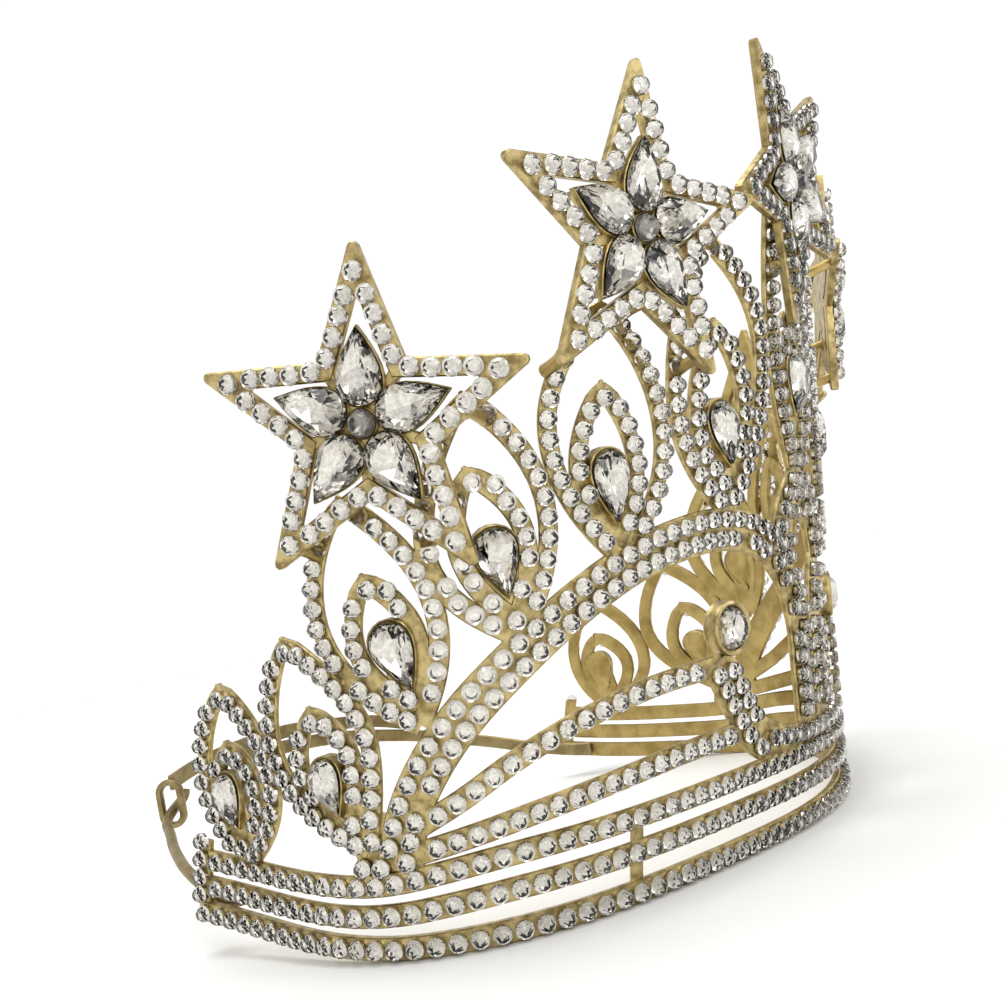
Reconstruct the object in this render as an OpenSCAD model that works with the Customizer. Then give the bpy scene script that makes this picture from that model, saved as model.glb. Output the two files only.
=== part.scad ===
// Regalia crown: an open ring of pierced metal strips with five stars, set stones,
// a raised strap behind and a hook that closes it. Millimetres, +Z up, front towards -Y,
// resting plane at Z 0. The pattern is drawn flat as [s, z]: s is the arc length from the
// front centre, z the height over the flat pattern's zero line, and it is bent round the ring.

/* [Ring] */
// Mean radius of the ring to the outside of the strips
ring_radius = 78.3; // [72:0.1:86]
// Forward lean of the wall, millimetres for each millimetre of height
wall_lean = 0.123; // [0:0.001:0.16]
// Growth of the radius with height, millimetres for each millimetre
wall_flare = 0.019; // [0:0.001:0.04]
// Extra outward bend of the wall at the front star's height
wall_bend = 2.3; // [0:0.1:3]
// Arc length from the front centre to each end of the panel
panel_half = 153; // [150:0.5:153]
// Rise of the lowest row at the panel ends
rim_rise = 6.5; // [0:0.1:8]
// Arc length at which the lowest row leaves the resting plane
rise_start = 95; // [80:1:110]

/* [Strips] */
// Width of a strip that carries one row of stones
strip_width = 4; // [3.6:0.1:4.4]
// Width of the leaves' strips
leaf_width = 3.6; // [3.4:0.1:4]
// Width of a strip that carries two rows of stones
double_width = 8.2; // [7.6:0.1:8.8]
// Thickness of the strips
strip_thick = 1.24; // [1.22:0.02:1.24]
// Thickness of the lowest row
band_thick = 1.8; // [1.4:0.1:2.2]
// Width of the plain upright bars between the rows
bar_width = 2.6; // [2:0.1:3.4]

/* [Stars] */
// Centre to tip of each star
star_radius = 28.9; // [27:0.1:30]
// Width of the star's outline strip
star_strip = 3.3; // [3:0.1:3.6]
// Thickness of the star plates
star_thick = 1.8; // [1.4:0.1:2.4]

/* [Stones] */
// Width of the largest pear stone in the leaves
leaf_pear_width = 7.4; // [6.4:0.1:7.8]
// Length of the largest pear stone in the leaves
leaf_pear_length = 12.4; // [10.6:0.1:12.6]
// Width of the pear stones in the stars
star_pear_width = 7.8; // [6.6:0.1:7.8]
// Length of the pear stones in the stars
star_pear_length = 12.6; // [11:0.1:13]
// Diameter of the round stone in the middle of each star
star_round = 4.8; // [3.6:0.1:4.8]
// Diameter of the two large round stones
big_round = 8; // [6:0.1:8.6]
// Height of a stone above the floor of its cup
stone_height = 3; // [2:0.1:3.6]
// Clearance between a stone and its cup
stone_gap = 0.12; // [0.1:0.01:0.2]

/* [Strap and hook] */
// Width of the strap's strips
strap_width = 3.6; // [3:0.1:4.2]
// Thickness of the strap's strips
strap_thick = 1.4; // [1:0.1:1.8]
// Diameter of the hook wire
wire_diameter = 2.4; // [1.8:0.1:2.8]

/* [Hidden] */
// Lobes of the ring's plan: parts of the radius that go with 2, 3, 4 and 5 times the angle
plan_lobes = [-0.056, 0.013, -0.065, 0.051];
// Height of the flat pattern's zero line: half a strip over the lowest row's centre at -1
datum = 1 + strip_width / 2;
// Shift that brings the middle of the overall box to the origin
centre_y = 11.95;
plan_step = 2.5;
curve_steps = 3;
belly_pull = 0.52;
cup_wall = 0.35;
cup_base = 0.4;
cup_top = 1.5;
cup_off = 0.3;
star_pear_start = 2.8;
star_notch = 11.5;
tip_round = 0.9;
spoke_width = 2;
pear_points = 12;
pear_taper = 1.2;
round_sides = 12;
star_core = 4.2;
pad_inset = 0.6;
cut_reach = 2;
wall_step = 9.5;
wall_end = 114;
wall_bottom = -8;
wall_top = 145;
post_diameter = 2.6;
cup_link = 6;
bend_height = 58;
star_height = 122;
row_step = 12.5;

// Leaves, one row each: base, back belly, front belly and tip, as [s, z] pairs
outer_leaves = [
    [[136.5, 14.5], [147.6, 32], [126.2, 27], [140.5, 47]],
    [[103.5, 16], [124.8, 37.5], [101, 31], [118.6, 53]],
    [[91.5, 35], [109.2, 57.5], [86.8, 49.5], [101.5, 74]],
    [[73.8, 46], [87.6, 63], [66.8, 64], [79, 86]],
    [[53, 55], [65.4, 78], [41.8, 75], [53, 98]],
    [[26.5, 60], [38, 80], [12.6, 90], [27, 110]]];
inner_leaves = [
    [[136.8, 17], [143.8, 29], [131.3, 26], [140, 36.3]],
    [[105, 18], [117.2, 31.5], [104.8, 30], [113.6, 40.3]],
    [[92, 38], [101.8, 51.5], [90.2, 47], [98.8, 60.5]],
    [[74, 48.5], [82.4, 64], [70.8, 60], [79.6, 74]],
    [[54, 57.5], [60.4, 70.5], [48.3, 70], [54.3, 84.5]],
    [[26, 62.5], [33, 76.5], [19.3, 79], [26.2, 94.3]]];
// Centre leaf, its front half is the mirror image: base, belly and tip
centre_outer = [[0, 64], [7.8, 92], [0, 133]];
centre_inner = [[0, 68], [5, 83], [0, 97]];

// Pear cups of the leaves, the middle leaf's last, one row each: s, z of the middle, turn, and the
// stone's width and length as parts of the largest
leaf_cups = [
    [139.4, 26.3, -14, 0.97, 0.81],
    [109.8, 27.4, -14, 0.89, 0.76],
    [93.9, 46.9, -15, 0.99, 0.94],
    [76, 58.6, -5, 0.97, 0.92],
    [54.6, 67.6, -2, 1, 1],
    [26.8, 74.2, -10, 0.96, 0.97],
    [0, 83, 0, 0.96, 0.97]];
finial = [29.8, 38.9];

// Stars, low, middle and front, one row each: angle round the ring, height, stand-off, tilt, turn
star_rows = [
    [68.2, 84.8, 3.5, 8, 10.9],
    [36.7, 108.6, 6, 10.3, 6.3],
    [0, 122.6, 1.58, 9.4, 30.5]];
// Posts that carry the stars, a row each: s, z of the foot, then x, y of the end behind the star
star_posts = [
    [[107, 66, 13.7, -19.9], [98.5, 71, 5.1, -14], [87, 64, -9.9, -17.3], [75.5, 82, -16.2, 1.5]],
    [[64.5, 88, 13.9, -20], [50, 96, -1.6, -11.7], [37.5, 86, -14.4, -20.3], [26.4, 109, -21, 5.3]],
    [[6.6, 106, -5.4, -14.3], [-6.6, 106, -12.5, -11.9], [0, 132, 5.9, 9.4]]];

// Paths through the pattern, as [s, z] points
strut_path = [[98.5, 12], [94.2, 23], [85, 34.3], [71, 44.6], [57, 51.8], [44, 55.6],
    [30, 56.8], [18, 54.4], [9.8, 47.5], [5.4, 37.5], [4.9, 26], [4.9, 15]];
row4_path = [[96, 14], [84, 15.6], [74, 16.9], [60, 18.2], [45, 19.2], [27, 19.6]];
row5_path = [[95, 18], [86, 21.6], [77, 25.8], [67, 29.2], [57, 31.2], [47, 32.3], [34, 32.5]];
slant_path = [[32.6, 33.2], [30, 28.5], [27.2, 23], [23.5, 17.8], [17, 14.6]];
front_path = [[22, 15], [12, 13.4], [0, 13]];
arch_path = [[10.5, 48], [8, 55], [4.2, 60], [0, 63]];
fan_path = [[100, 9.5], [99.6, 15], [98, 21]];
fan_width = 13;
bar_path = [[57, -1], [56.2, 5], [55.4, 11]];
arch_key = [[-1.1, 59.5], [1.1, 59.5]];
key_width = 5;
// Upright row at the panel's end, as [distance in from the end, height over the lowest row's foot]
end_rise = [[0.4, -1.8], [1, 4.5], [3, 13.5]];
end_width = 3.4;

// Strap, one row each: angle round the ring, radius, height
lower_strap = [[104, 74.1, 4.6], [109, 75.4, 5.2], [118, 79.6, 7.6], [128, 83, 12], [143, 84.6, 18.6],
    [158, 81, 23.2], [172, 77.4, 25.2], [186, 77, 25.8]];
upper_strap = [[141, 84.6, 21.2], [150, 83.4, 25.4], [161, 80.2, 27.8], [173, 77.4, 29.4],
    [186, 77, 29], [197, 78.4, 28], [208, 80.2, 26]];
// Hook wire from the free panel end through the eye: angle, radius, height
hook_path = [[-104, 73.7, 6.4], [-109, 75, 6.9], [-114, 75.6, 9], [-121, 76, 11.4], [-130, 76.4, 13.4],
    [-140, 78, 15.6], [-147, 80.6, 17.8], [-151.4, 80.8, 19.5], [-154.2, 80.1, 20.9], [-155.6, 79.7, 22],
    [-156, 79.5, 23.4]];
eye_place = [208.6, 80.8, 21.2];
eye_size = [6.6, 12];
eye_hole = [3.5, 8.4];
eye_depth = 2.4;
wire_sides = 8;

// Radius of the plan at an angle from the front
function plan(a) = ring_radius * (1 + plan_lobes[0] * cos(2 * a) + plan_lobes[1] * cos(3 * a)
    + plan_lobes[2] * cos(4 * a) + plan_lobes[3] * cos(5 * a));
// Growth of the plan with height: even up to the bend, then steeper
function growth(z) = (wall_flare * z + wall_bend * max(0, z - bend_height) / (star_height - bend_height))
    / ring_radius;
// Point on the wall at an angle, pattern height and stand-off
function wall(a, z, off) = let (r = plan(a) * (1 + growth(z) + off / ring_radius))
    [r * sin(a), centre_y - r * cos(a) - wall_lean * z, z + datum];
function foot(a) = let (r = plan(a)) [r * sin(a), -r * cos(a)];
// Arc length against angle, by adding the chords of the plan
arc_table = [for (i = 0, s = 0; i <= 180 / plan_step;
    s = s + norm(foot((i + 1) * plan_step) - foot(i * plan_step)), i = i + 1) [s, i * plan_step]];
function angle_at(s) = s < 0 ? -lookup(-s, arc_table) : lookup(s, arc_table);
function spot(p, off) = wall(angle_at(p[0]), p[1], off);

// Rise of the lowest row, and the heights of the three rows
function rise(s) = abs(s) <= rise_start ? 0
    : rim_rise * pow((abs(s) - rise_start) / (panel_half - rise_start), 1.6);
function ease(s) = let (t = min(1, max(0, (abs(s) - 75) / 35))) t * t * (3 - 2 * t);
function row_height(k, s) = -1 + rise(s)
    + (k == 1 ? 0 : k == 2 ? 6.6 - 1.4 * ease(s) : 12.3 - 2 * ease(s));
function row_path(k, end) = let (n = ceil(end / row_step))
    [for (i = [-n : n]) let (s = end * i / n) [s, row_height(k, s)]];
// A path that ends at the front centre, with its mirror image
function mirrored(p) = concat(p, [for (i = [len(p) - 2 : -1 : 0]) [-p[i][0], p[i][1]]]);

// Smooth path through points
function through(p) = let (n = len(p) - 1) concat([for (i = [0 : n - 1]) let (
    a = p[max(0, i - 1)], b = p[i], c = p[i + 1], d = p[min(n, i + 2)]) each
    [for (j = [0 : 1]) let (t = j / 2) 0.5 * (2 * b + (c - a) * t
        + (2 * a - 5 * b + 4 * c - d) * t * t + (3 * b - a - 3 * c + d) * t * t * t)]], [p[n]]);
function bend(a, c, b, t) = (1 - t) * (1 - t) * a + 2 * t * (1 - t) * c + t * t * b;
// One side of a leaf: base to belly to tip
function side_path(base, belly, tip) = let (
    low = belly - [0, belly_pull * (belly[1] - base[1])],
    high = belly + [0, belly_pull * (tip[1] - belly[1])])
    concat([for (i = [0 : curve_steps - 1]) bend(base, low, belly, i / curve_steps)],
        [for (i = [0 : curve_steps]) bend(belly, high, tip, i / curve_steps)]);

// Closed skin round rings of four points each
module four_sided(rings) {
    n = len(rings) / 4 - 1;
    walls = [for (i = [0 : n - 1]) for (k = [0 : 3]) let (
        a = 4 * i + k,
        b = 4 * i + (k + 1) % 4) each [[a, b + 4, b], [a, a + 4, b + 4]]];
    polyhedron(points = rings, faces = concat(walls,
        [[0, 1, 2, 3], [4 * n + 3, 4 * n + 2, 4 * n + 1, 4 * n]]));
}
// A strip bent round the ring along a path, from stand-off low to stand-off high
module strip(path, width, low, high) {
    n = len(path) - 1;
    four_sided([for (i = [0 : n]) let (
        a = path[max(0, i - 1)],
        b = path[min(n, i + 1)],
        side = [a[1] - b[1], b[0] - a[0]] / norm(b - a) * width / 2,
        p = path[i] + side,
        q = path[i] - side)
        each [spot(p, low), spot(p, high), spot(q, high), spot(q, low)]]);
}
// The bare wall between two stand-offs, from which the pattern keeps its strips
module sheet(low, high) {
    angles = [for (a = [-wall_end : wall_step : wall_end]) a];
    waist = 1 + growth(bend_height);
    skin = concat([for (a = angles) (waist + high / ring_radius) * foot(a)],
        [for (i = [len(angles) - 1 : -1 : 0]) (waist + low / ring_radius) * foot(angles[i])]);
    multmatrix([[1, 0, 0, 0], [0, 1, -wall_lean, centre_y], [0, 0, 1, datum], [0, 0, 0, 1]])
        translate([0, 0, bend_height]) {
            linear_extrude(wall_top - bend_height, scale = (1 + growth(wall_top)) / waist) polygon(skin);
            mirror([0, 0, 1])
                linear_extrude(bend_height - wall_bottom, scale = (1 + growth(wall_bottom)) / waist)
                    polygon(skin);
        }
}

module row(path, width = strip_width) {
    strip(path, width, -cut_reach, cut_reach);
}
// A strip drawn flat
module flat_strip(path, width = strip_width) {
    n = len(path) - 1;
    sides = [for (i = [0 : n]) let (a = path[max(0, i - 1)], b = path[min(n, i + 1)])
        [a[1] - b[1], b[0] - a[0]] / norm(b - a) * width / 2];
    polygon(concat([for (i = [0 : n]) path[i] + sides[i]], [for (i = [n : -1 : 0]) path[i] - sides[i]]));
}
// A flat drawing cut through the wall, straight outwards at one arc length
module straight_cut(s) {
    a = angle_at(s);
    along = (wall(a + 1, 0, 0) - wall(a - 1, 0, 0)) / norm(wall(a + 1, 0, 0) - wall(a - 1, 0, 0));
    out = [sin(a), -cos(a), 0];
    origin = wall(a, 0, 0);
    rising = (wall(a, star_height, 0) - origin) / star_height;
    multmatrix([[along[0], rising[0], out[0], origin[0]], [along[1], rising[1], out[1], origin[1]],
        [along[2], rising[2], out[2], origin[2]]])
        linear_extrude(4 * cut_reach, center = true) translate([-s, 0]) children();
}
module leaf_sides(shape) {
    flat_strip(side_path(shape[0], shape[1], shape[3]), leaf_width);
    flat_strip(side_path(shape[0], shape[2], shape[3]), leaf_width);
}
module leaf(k) {
    straight_cut(outer_leaves[k][0][0]) {
        leaf_sides(outer_leaves[k]);
        leaf_sides(inner_leaves[k]);
        flat_strip([outer_leaves[k][0], [leaf_cups[k][0], leaf_cups[k][1]]], cup_link);
    }
}
module centre_leaf() {
    straight_cut(0) {
        for (e = [-1, 1]) scale([e, 1]) {
            flat_strip(side_path(centre_outer[0], centre_outer[1], centre_outer[2]), leaf_width);
            flat_strip(side_path(centre_inner[0], centre_inner[1], centre_inner[2]), leaf_width);
        }
        flat_strip([centre_outer[0], [leaf_cups[6][0], leaf_cups[6][1]]], cup_link);
    }
}

// Frame of a flat piece on the wall: local X along the pattern's s, Y up, Z outwards
module on_wall(s, z, turn, off) {
    a = angle_at(s);
    origin = wall(a, z, off);
    ahead = wall(a + 1, z, off) - wall(a - 1, z, off);
    along = [ahead[0], ahead[1], 0] / norm([ahead[0], ahead[1]]);
    rising = wall(a, z + 1, off) - wall(a, z - 1, off);
    out = cross(along, rising) / norm(cross(along, rising));
    up = cross(out, along);
    multmatrix([[along[0], up[0], out[0], origin[0]], [along[1], up[1], out[1], origin[1]],
        [along[2], up[2], out[2], origin[2]]]) rotate([0, 0, turn]) children();
}

// Frame of a star: standing off the wall at an angle, tilted and turned
function star_matrix(k) = let (
    a = star_rows[k][0],
    tilt = star_rows[k][3],
    turn = star_rows[k][4],
    origin = wall(a, star_rows[k][1], star_rows[k][2]),
    ahead = foot(a + 1) - foot(a - 1),
    along = [ahead[0], ahead[1], 0] / norm(ahead),
    up = cos(tilt) * [0, 0, 1] + sin(tilt) * cross(along, [0, 0, 1]),
    x = cos(turn) * along + sin(turn) * up,
    y = cos(turn) * up - sin(turn) * along,
    out = cross(x, y))
    [[x[0], y[0], out[0], origin[0]], [x[1], y[1], out[1], origin[1]], [x[2], y[2], out[2], origin[2]]];
module at_star(k) {
    multmatrix(star_matrix(k)) children();
}

module both() {
    children();
    mirror([1, 0, 0]) children();
}

// Pear outline with its round end up, its point down and its middle at the origin
widest = sqrt((pear_taper + 1) / (pear_taper + 2));
pear_scale = 0.25 / (pow(widest, pear_taper + 1) * sqrt(1 - widest * widest));
function pear(width, length) = [for (i = [0 : pear_points - 1]) let (t = 360 * i / pear_points)
    [pear_scale * width * sin(t) * pow(sin(t / 2), pear_taper), -0.5 * length * cos(t)]];
module pear_block(width, length, low, high) {
    translate([0, 0, low]) linear_extrude(high - low) polygon(pear(width, length));
}
module pear_cup(width, length, low, high) {
    difference() {
        pear_block(width + 2 * (cup_wall + stone_gap), length + 3 * (cup_wall + stone_gap), low, high);
        pear_block(width + 2 * stone_gap, length + 3 * stone_gap, cup_base, high + 1);
    }
}
// Stone cut with a table, a ring of crown facets and a pointed back, from its outline
module cut_stone(outline, base) {
    n = len(outline);
    girdle = [for (p = outline) [p[0], p[1], base + 0.4 * stone_height]];
    table = [for (p = outline) [0.6 * p[0], 0.6 * p[1], base + stone_height]];
    crown = [for (i = [0 : n - 1]) let (j = (i + 1) % n)
        each [[i, n + j, j], [i, n + i, n + j], [2 * n, i, j]]];
    polyhedron(points = concat(girdle, table, [[0, 0, base]]),
        faces = concat(crown, [[for (i = [n - 1 : -1 : 0]) n + i]]));
}
function ring_points(d) = [for (i = [0 : round_sides - 1]) let (t = 360 * i / round_sides)
    [0.5 * d * cos(t), 0.5 * d * sin(t)]];

// Star plate. The edge's normal leaves a tip's axis by edge_turn; a window follows the edge inside.
edge_turn = atan((star_radius - tip_round - star_notch * cos(36)) / (star_notch * sin(36)));
edge_reach = (star_radius - tip_round) * cos(edge_turn) + tip_round;
function reach_at(a, inset) = (edge_reach - inset) / cos(edge_turn - a);
function ray(a, r) = [r * sin(a), r * cos(a)];
blunt_star = [for (i = [4 : -1 : 0]) each concat([ray(72 * i + 36, reach_at(36, 0))],
    [for (j = [3 : -1 : 0]) ray(72 * i, star_radius - tip_round)
        + ray(72 * i + edge_turn * (2 * j / 3 - 1), tip_round)])];
star_window = [for (i = [9 : -1 : 0]) ray(36 * i, reach_at(36 * (i % 2), star_strip))];
module star_metal() {
    linear_extrude(star_thick) {
        difference() {
            polygon(blunt_star);
            polygon(star_window);
        }
        circle(r = star_core, $fn = 10);
        for (i = [0 : 4]) rotate(72 * i) {
            translate([0, star_pear_start + star_pear_length / 2])
                rotate(180) polygon(pear(star_pear_width - pad_inset, star_pear_length - pad_inset));
            rotate(36) translate([-spoke_width / 2, 0]) square([spoke_width, star_notch - star_strip / 2]);
        }
    }
}
module star_pear(i) {
    rotate([0, 0, 72 * i]) translate([0, star_pear_start + star_pear_length / 2, 0])
        rotate([0, 0, 180]) cut_stone(pear(star_pear_width, star_pear_length), star_thick + stone_gap);
}
module star_centre() {
    cut_stone(ring_points(star_round), star_thick + stone_gap);
}

function polar(p) = [p[1] * sin(p[0]), centre_y - p[1] * cos(p[0]), p[2] + datum];
// A flat strip standing on edge along polar points
module upright(points, width, thick) {
    four_sided([for (p = points) let (
        a = polar([p[0], p[1] - thick / 2, p[2] - width / 2]),
        b = polar([p[0], p[1] + thick / 2, p[2] - width / 2]))
        each [a + [0, 0, width], b + [0, 0, width], b, a]]);
}

// Round wire along points
module wire(points, diameter) {
    n = len(points) - 1;
    path = [for (p = points) polar(p)];
    rings = [for (i = [0 : n]) let (
        t = path[min(n, i + 1)] - path[max(0, i - 1)],
        level = cross(t, [path[i][0], path[i][1] - centre_y, 0]),
        u = level / norm(level),
        v = cross(t, u) / norm(t))
        each [for (k = [0 : wire_sides - 1]) let (w = 360 * k / wire_sides)
            path[i] + diameter / 2 * (cos(w) * u + sin(w) * v)]];
    walls = [for (i = [0 : n - 1]) for (k = [0 : wire_sides - 1]) let (
        a = wire_sides * i + k,
        b = wire_sides * i + (k + 1) % wire_sides) each
            [[a, b + wire_sides, b], [a, a + wire_sides, b + wire_sides]]];
    polyhedron(points = rings, faces = concat(walls, [[for (k = [0 : wire_sides - 1]) k],
        [for (k = [wire_sides - 1 : -1 : 0]) wire_sides * n + k]]));
}
module stadium(size) {
    hull() for (e = [-1, 1]) translate([0, e * (size[1] - size[0]) / 2]) circle(d = size[0], $fn = 32);
}

// Posts from the wall to the back of a star
module posts(k) {
    for (p = star_posts[k]) hull() {
        translate(spot([p[0], p[1]], 0)) cylinder(d = post_diameter, h = 0.8, center = true, $fn = 6);
        translate(star_matrix(k) * [p[2], p[3], star_thick / 2, 1])
            cylinder(d = post_diameter, h = 0.8, center = true, $fn = 6);
    }
}

module half_pattern() {
    row([for (p = end_rise) [panel_half - p[0], row_height(1, panel_half) + p[1]]], end_width);
    row(through(strut_path), double_width);
    row(through(row4_path));
    row(through(row5_path));
    row(through(slant_path), double_width);
    row(fan_path, fan_width);
    row(bar_path, bar_width);
    for (k = [0 : len(outer_leaves) - 1]) leaf(k);
}
module lattice() {
    intersection() {
        sheet(-strip_thick / 2, strip_thick / 2);
        union() {
            both() half_pattern();
            centre_leaf();
            row(row_path(2, panel_half));
            row(row_path(3, panel_half - 2.5));
            row(through(mirrored(front_path)), double_width);
            row(through(mirrored(arch_path)), double_width);
            row(arch_key, key_width);
        }
    }
}
// Frame of a leaf's cup on the wall, and the cup
module at_cup(k) {
    on_wall(leaf_cups[k][0], leaf_cups[k][1], leaf_cups[k][2], cup_off) children();
}
function leaf_pear(k) = [leaf_cups[k][3] * leaf_pear_width, leaf_cups[k][4] * leaf_pear_length];
module leaf_cup(k) {
    at_cup(k) pear_cup(leaf_pear(k)[0], leaf_pear(k)[1], -strip_thick, cup_top);
}
module half_frame() {
    for (k = [0 : 5]) leaf_cup(k);
    on_wall(finial[0], finial[1], 0, 0) difference() {
        translate([0, 0, -1]) cylinder(d = big_round + 2.4, h = 3.2, $fn = 20);
        translate([0, 0, 0.6]) cylinder(d = big_round + 2 * stone_gap, h = 3, $fn = round_sides);
    }
    for (k = [0, 1]) {
        at_star(k) star_metal();
        posts(k);
    }
}

module crown_frame() {
    color("goldenrod") {
        lattice();
        strip(row_path(1, panel_half), strip_width, -band_thick / 2, band_thick / 2);
        both() half_frame();
        leaf_cup(6);
        at_star(2) star_metal();
        posts(2);
    }
}

module back_strap() {
    color("darkkhaki") {
        upright(through(lower_strap), strap_width, strap_thick);
        upright(through(upper_strap), strap_width, strap_thick);
        translate(polar(eye_place)) rotate([90, 0, eye_place[0] - 90])
            linear_extrude(eye_depth, center = true) difference() {
                stadium(eye_size);
                stadium(eye_hole);
            }
    }
}

module hook_wire() {
    color("darkkhaki") wire(through(hook_path), wire_diameter);
}

module leaf_stone(k) {
    color("white") at_cup(k) cut_stone(pear(leaf_pear(k)[0], leaf_pear(k)[1]), cup_base + stone_gap);
}
module finial_stone() {
    color("white") on_wall(finial[0], finial[1], 0, 0) cut_stone(ring_points(big_round), 0.6 + stone_gap);
}
module leaf_1_left_stone() {
    leaf_stone(0);
}
module leaf_2_left_stone() {
    leaf_stone(1);
}
module leaf_3_left_stone() {
    leaf_stone(2);
}
module leaf_4_left_stone() {
    leaf_stone(3);
}
module leaf_5_left_stone() {
    leaf_stone(4);
}
module leaf_6_left_stone() {
    leaf_stone(5);
}
module finial_left_stone() {
    finial_stone();
}
module leaf_1_right_stone() {
    mirror([1, 0, 0]) leaf_stone(0);
}
module leaf_2_right_stone() {
    mirror([1, 0, 0]) leaf_stone(1);
}
module leaf_3_right_stone() {
    mirror([1, 0, 0]) leaf_stone(2);
}
module leaf_4_right_stone() {
    mirror([1, 0, 0]) leaf_stone(3);
}
module leaf_5_right_stone() {
    mirror([1, 0, 0]) leaf_stone(4);
}
module leaf_6_right_stone() {
    mirror([1, 0, 0]) leaf_stone(5);
}
module finial_right_stone() {
    mirror([1, 0, 0]) finial_stone();
}
module leaf_centre_stone() {
    leaf_stone(6);
}
module star_low_left_pear_1() {
    color("white") at_star(0) star_pear(0);
}
module star_low_left_pear_2() {
    color("white") at_star(0) star_pear(1);
}
module star_low_left_pear_3() {
    color("white") at_star(0) star_pear(2);
}
module star_low_left_pear_4() {
    color("white") at_star(0) star_pear(3);
}
module star_low_left_pear_5() {
    color("white") at_star(0) star_pear(4);
}
module star_low_left_round() {
    color("white") at_star(0) star_centre();
}
module star_low_right_pear_1() {
    color("white") mirror([1, 0, 0]) at_star(0) star_pear(0);
}
module star_low_right_pear_2() {
    color("white") mirror([1, 0, 0]) at_star(0) star_pear(1);
}
module star_low_right_pear_3() {
    color("white") mirror([1, 0, 0]) at_star(0) star_pear(2);
}
module star_low_right_pear_4() {
    color("white") mirror([1, 0, 0]) at_star(0) star_pear(3);
}
module star_low_right_pear_5() {
    color("white") mirror([1, 0, 0]) at_star(0) star_pear(4);
}
module star_low_right_round() {
    color("white") mirror([1, 0, 0]) at_star(0) star_centre();
}
module star_mid_left_pear_1() {
    color("white") at_star(1) star_pear(0);
}
module star_mid_left_pear_2() {
    color("white") at_star(1) star_pear(1);
}
module star_mid_left_pear_3() {
    color("white") at_star(1) star_pear(2);
}
module star_mid_left_pear_4() {
    color("white") at_star(1) star_pear(3);
}
module star_mid_left_pear_5() {
    color("white") at_star(1) star_pear(4);
}
module star_mid_left_round() {
    color("white") at_star(1) star_centre();
}
module star_mid_right_pear_1() {
    color("white") mirror([1, 0, 0]) at_star(1) star_pear(0);
}
module star_mid_right_pear_2() {
    color("white") mirror([1, 0, 0]) at_star(1) star_pear(1);
}
module star_mid_right_pear_3() {
    color("white") mirror([1, 0, 0]) at_star(1) star_pear(2);
}
module star_mid_right_pear_4() {
    color("white") mirror([1, 0, 0]) at_star(1) star_pear(3);
}
module star_mid_right_pear_5() {
    color("white") mirror([1, 0, 0]) at_star(1) star_pear(4);
}
module star_mid_right_round() {
    color("white") mirror([1, 0, 0]) at_star(1) star_centre();
}
module star_front_pear_1() {
    color("white") at_star(2) star_pear(0);
}
module star_front_pear_2() {
    color("white") at_star(2) star_pear(1);
}
module star_front_pear_3() {
    color("white") at_star(2) star_pear(2);
}
module star_front_pear_4() {
    color("white") at_star(2) star_pear(3);
}
module star_front_pear_5() {
    color("white") at_star(2) star_pear(4);
}
module star_front_round() {
    color("white") at_star(2) star_centre();
}

crown_frame();
back_strap();
hook_wire();
leaf_1_left_stone();
leaf_2_left_stone();
leaf_3_left_stone();
leaf_4_left_stone();
leaf_5_left_stone();
leaf_6_left_stone();
finial_left_stone();
leaf_1_right_stone();
leaf_2_right_stone();
leaf_3_right_stone();
leaf_4_right_stone();
leaf_5_right_stone();
leaf_6_right_stone();
finial_right_stone();
leaf_centre_stone();
star_low_left_pear_1();
star_low_left_pear_2();
star_low_left_pear_3();
star_low_left_pear_4();
star_low_left_pear_5();
star_low_left_round();
star_low_right_pear_1();
star_low_right_pear_2();
star_low_right_pear_3();
star_low_right_pear_4();
star_low_right_pear_5();
star_low_right_round();
star_mid_left_pear_1();
star_mid_left_pear_2();
star_mid_left_pear_3();
star_mid_left_pear_4();
star_mid_left_pear_5();
star_mid_left_round();
star_mid_right_pear_1();
star_mid_right_pear_2();
star_mid_right_pear_3();
star_mid_right_pear_4();
star_mid_right_pear_5();
star_mid_right_round();
star_front_pear_1();
star_front_pear_2();
star_front_pear_3();
star_front_pear_4();
star_front_pear_5();
star_front_round();
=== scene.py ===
"""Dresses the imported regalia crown: gold strips, set stones, strap, hook and a plain studio."""

import math
import random

import bmesh
import bpy
import numpy as np
from bpy.props import FloatProperty, FloatVectorProperty, IntProperty, PointerProperty
from bpy.types import Operator, Panel, PropertyGroup
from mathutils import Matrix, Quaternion, Vector


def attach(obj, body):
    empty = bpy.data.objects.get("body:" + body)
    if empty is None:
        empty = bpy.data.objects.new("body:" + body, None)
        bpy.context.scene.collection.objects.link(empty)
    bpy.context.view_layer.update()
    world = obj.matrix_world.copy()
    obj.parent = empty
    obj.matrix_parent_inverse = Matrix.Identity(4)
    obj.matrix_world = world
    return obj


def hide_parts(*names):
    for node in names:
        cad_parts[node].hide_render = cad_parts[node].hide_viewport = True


bl_info = {
    "name": "Regalia crown dresser",
    "version": (1, 0, 0),
    "blender": (4, 5, 0),
    "location": "3D View > Sidebar > Crown",
    "description": "Builds the strips, stones, strap and hook of a regalia crown on its packed frame",
    "category": "Object",
}

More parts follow.
